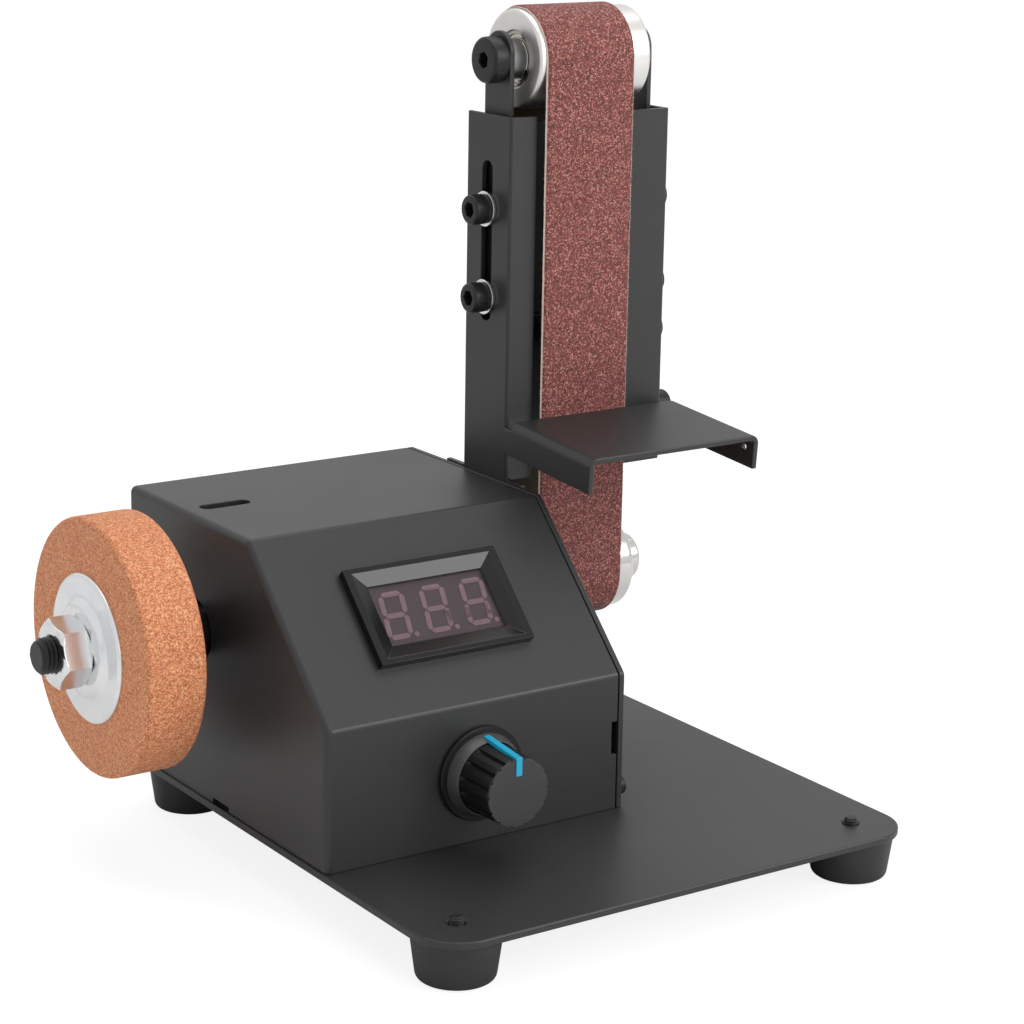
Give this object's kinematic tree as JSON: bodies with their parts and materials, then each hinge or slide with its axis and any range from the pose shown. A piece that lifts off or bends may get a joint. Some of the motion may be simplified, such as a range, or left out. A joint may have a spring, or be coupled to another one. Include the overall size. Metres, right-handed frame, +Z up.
{
  "type": "mini belt sander",
  "caption": "Small bench sander: vertical abrasive belt on a column with a work table, and a grinding wheel on the other end of the motor's spindle.",
  "frame": {"origin": "on the floor, at the middle of the part's outline box", "axes": "+X along the spindle from the grinding wheel to the belt, +Y from the front panel to the back, +Z up"},
  "size_m": [0.2034, 0.166, 0.2269],
  "materials": {
    "grey_paint": "satin powder coat",
    "foot_rubber": "matte",
    "black_steel": "black oxide",
    "zinc_steel": "zinc plated",
    "motor_steel": "rolled steel",
    "magnet": "matte",
    "copper": "bright",
    "polished_aluminium": "polished",
    "abrasive": "coarse aluminium oxide grit",
    "wheel_grit": "fine grit",
    "black_plastic": "moulded satin",
    "grey_plastic": "moulded matte",
    "blue_plastic": "satin",
    "smoked_window": "clear tinted",
    "display_face": "matte",
    "digit_pink": "matte",
    "board_green": "solder mask",
    "red_lead": "smooth",
    "yellow_lead": "smooth"
  },
  "bodies": {
    "frame": {"base_plate": "grey_paint", "rubber_feet": "foot_rubber", "foot_screws": "black_steel", "housing_cover": "grey_paint", "right_panel": "grey_paint", "panel_screws": "black_steel", "base_screws": "zinc_steel", "base_nuts": "zinc_steel", "motor_can": "motor_steel", "motor_magnets": "magnet", "motor_end_cap": "black_plastic", "motor_bearings": "zinc_steel", "motor_brushes": "magnet", "motor_terminals": "zinc_steel", "motor_screws": "zinc_steel", "column": "grey_paint", "platen": "zinc_steel", "platen_screw": "black_steel", "sanding_belt": "abrasive", "table_screw": "black_steel", "table_nut": "zinc_steel", "meter_bezel": "black_plastic", "meter_window": "smoked_window", "meter_digits": "digit_pink", "meter_display": "display_face", "meter_board": "board_green", "speed_dial": "zinc_steel", "dial_nut": "zinc_steel", "power_jack": "black_plastic", "control_board": "board_green", "board_parts": "black_plastic", "board_standoffs": "zinc_steel", "power_leads": "red_lead", "signal_leads": "yellow_lead"},
    "spindle": {"motor_shaft": "zinc_steel", "armature": "motor_steel", "armature_windings": "copper", "commutator": "copper", "wheel_arbor": "black_steel", "inner_flange": "zinc_steel", "grinding_wheel": "wheel_grit", "outer_flange": "zinc_steel", "arbor_nut": "zinc_steel", "drive_pulley": "polished_aluminium", "grub_screws": "black_steel"},
    "fork": {"tension_fork": "grey_paint", "fork_screws": "black_steel", "fork_washers": "zinc_steel", "fork_nuts": "zinc_steel", "idler_axle": "black_steel", "axle_spacers": "zinc_steel", "axle_nut": "zinc_steel"},
    "idler": {"idler_pulley": "polished_aluminium", "idler_bearings": "zinc_steel"},
    "knob": {"dial_shaft": "zinc_steel", "knob_body": "black_plastic", "knob_skirt": "grey_plastic", "knob_cap": "grey_plastic", "knob_pointer": "blue_plastic"},
    "table": {"work_table": "grey_paint"}
  },
  "joints": [
    {"name": "spindle_spin", "type": "hinge", "parent": "frame", "child": "spindle", "pos_m": [0, 0.042, 0.0615], "axis": [1, 0, 0], "continuous": true},
    {"name": "fork_slide", "type": "slide", "parent": "frame", "child": "fork", "axis": [0, 0, 1], "range_m": [-0.004, 0]},
    {"name": "idler_spin", "type": "hinge", "parent": "fork", "child": "idler", "pos_m": [0.06648, 0.042, 0.212], "axis": [1, 0, 0], "continuous": true},
    {"name": "knob_turn", "type": "hinge", "parent": "frame", "child": "knob", "pos_m": [-0.00728, -0.028, 0.0332], "axis": [0, 1, 0], "range_deg": [-150, 150]},
    {"name": "table_tilt", "type": "hinge", "parent": "frame", "child": "table", "pos_m": [0.09473, 0.03805, 0.1082], "axis": [1, 0, 0], "range_deg": [-14, 13]}
  ],
  "couplings": [
    {"joint": "idler_spin", "follows": "spindle_spin", "ratio": 1}
  ]
}
